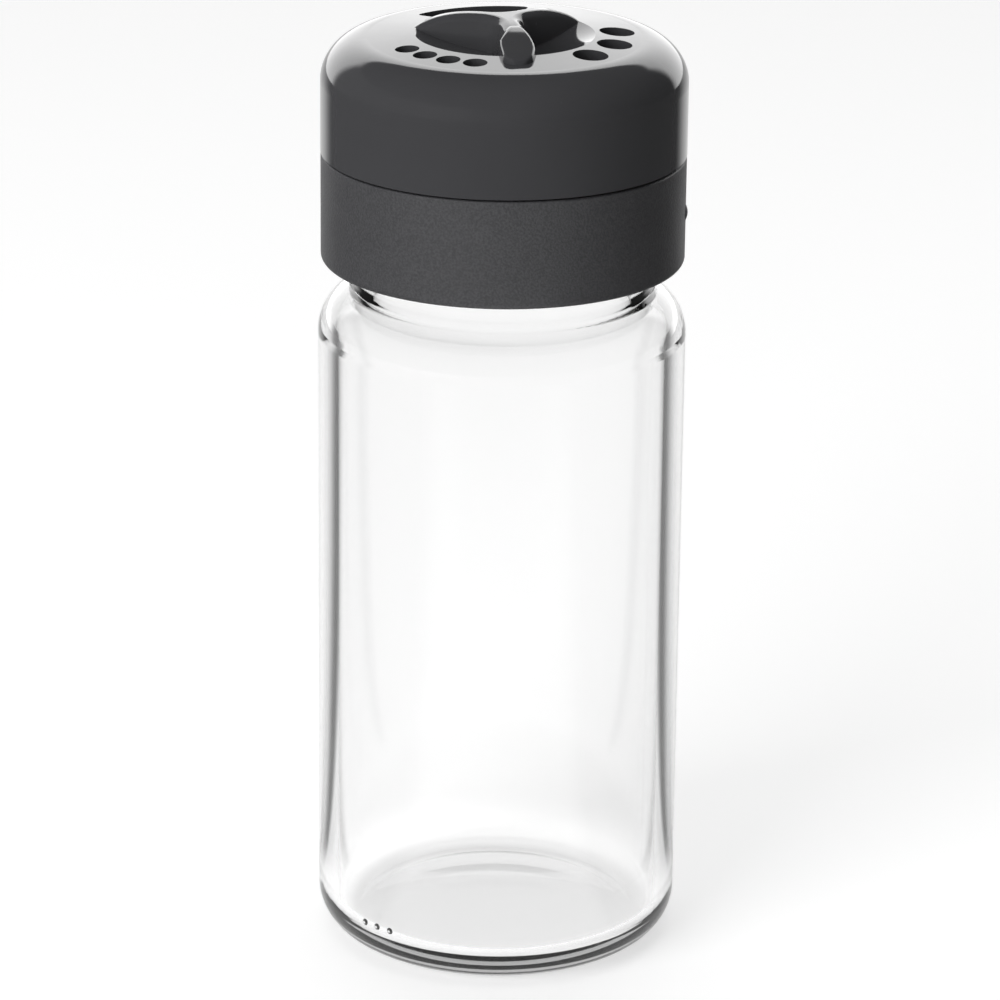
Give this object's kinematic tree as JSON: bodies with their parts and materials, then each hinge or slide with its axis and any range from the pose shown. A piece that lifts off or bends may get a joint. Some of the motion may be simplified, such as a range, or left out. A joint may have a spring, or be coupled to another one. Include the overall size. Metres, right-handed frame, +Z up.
{
  "type": "spice jar",
  "caption": "Clear glass spice jar with a dark screw lid: a matt collar under a gloss turning cap with shaker openings and a three-armed grip.",
  "frame": {"origin": "centre of the jar's base, on the surface it stands on", "axes": "+Z up along the jar's axis, +Y through the middle of the pour opening, +X to the coarse holes' side"},
  "size_m": [0.0528, 0.0526, 0.138],
  "materials": {
    "clear_glass": "polished",
    "seal_rubber": "matt",
    "matt_plastic": "fine grain",
    "satin_plastic": "satin",
    "gloss_plastic": "polished"
  },
  "bodies": {
    "jar": {"jar": "clear_glass"},
    "seal": {"seal_ring": "seal_rubber"},
    "collar": {"collar": "matt_plastic", "shutter": "satin_plastic"},
    "cap": {"cap": "gloss_plastic"}
  },
  "joints": [
    {"name": "lid_rise", "type": "slide", "parent": "jar", "child": "seal", "axis": [0, 0, 1], "range_m": [0, 0.012]},
    {"name": "lid_turn", "type": "hinge", "parent": "seal", "child": "collar", "pos_m": [0, 0, 0.11], "axis": [0, 0, 1], "range_deg": [0, 1080]},
    {"name": "cap_turn", "type": "hinge", "parent": "collar", "child": "cap", "pos_m": [0, 0, 0.125], "axis": [0, 0, 1], "range_deg": [-185, 65]}
  ],
  "couplings": [
    {"joint": "lid_rise", "follows": "lid_turn", "m_per_rad": 0.00063662}
  ]
}
